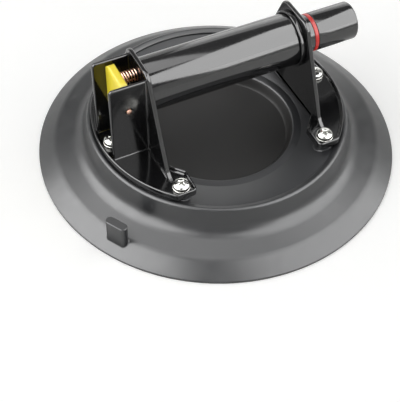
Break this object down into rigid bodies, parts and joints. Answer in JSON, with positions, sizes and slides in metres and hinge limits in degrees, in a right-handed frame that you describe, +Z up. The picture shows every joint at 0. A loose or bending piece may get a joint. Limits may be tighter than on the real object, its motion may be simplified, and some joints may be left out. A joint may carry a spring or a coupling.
{
  "type": "suction cup lifter",
  "caption": "Hand vacuum lifter: a round rubber suction pad under a tube handle that holds a push pump, with a thumb lever that releases the vacuum",
  "frame": {"origin": "Centre of the pad on the plane where its lip seals", "axes": "+X along the handle towards the pump plunger, +Y to the rear, +Z up from the pad to the handle"},
  "size_m": [0.254, 0.254, 0.0981],
  "materials": {
    "pad_rubber": "matt moulded rubber",
    "plate_coating": "satin powder coat on cast metal",
    "black_enamel": "high gloss black",
    "bright_zinc": "bright plated",
    "steel": "plain",
    "black_acetal": "machined",
    "seal_rubber": "matt",
    "red_ring": "satin",
    "yellow_nylon": "moulded satin",
    "copper": "bright copper plated",
    "brass": "turned",
    "filter_felt": "felt"
  },
  "bodies": {
    "frame": {"rubber_pad": "pad_rubber", "backing_plate": "plate_coating", "valve_bracket": "black_enamel", "pump_bracket": "black_enamel", "pump_barrel": "black_enamel", "barrel_collar": "black_enamel", "valve_screw_front": "bright_zinc", "valve_screw_outer": "bright_zinc", "valve_screw_rear": "bright_zinc", "pump_screw_front": "bright_zinc", "pump_screw_outer": "bright_zinc", "pump_screw_rear": "bright_zinc", "valve_washer_front": "steel", "valve_washer_outer": "steel", "valve_washer_rear": "steel", "pump_washer_front": "steel", "pump_washer_outer": "steel", "pump_washer_rear": "steel", "plunger_spring": "steel", "suction_pipe": "steel", "pump_head": "black_acetal", "plunger_bush": "black_acetal", "filter_cover": "black_acetal", "head_seal_ring": "seal_rubber", "intake_valve": "seal_rubber", "pipe_seal": "seal_rubber", "lever_pin": "copper", "valve_spring": "copper", "air_nozzle": "brass", "inlet_filter": "filter_felt"},
    "plunger": {"plunger_sleeve": "black_enamel", "plunger_cap": "black_enamel", "red_band": "red_ring", "piston": "black_acetal", "piston_cup": "seal_rubber", "exhaust_valve": "seal_rubber"},
    "lever": {"release_lever": "yellow_nylon", "air_valve_pad": "seal_rubber"}
  },
  "joints": [
    {"name": "plunger_slide", "type": "slide", "parent": "frame", "child": "plunger", "axis": [-1, 0, 0], "range_m": [0, 0.036], "stiffness_N_per_m": 350, "springref_m": -0.02, "deforming": ["plunger_spring"]},
    {"name": "lever_tilt", "type": "hinge", "parent": "frame", "child": "lever", "pos_m": [-0.0712, 0, 0.0725], "axis": [0, 1, 0], "range_deg": [0, 12], "stiffness_Nm_per_rad": 0.04, "springref_deg": -14.32, "deforming": ["valve_spring"]}
  ]
}
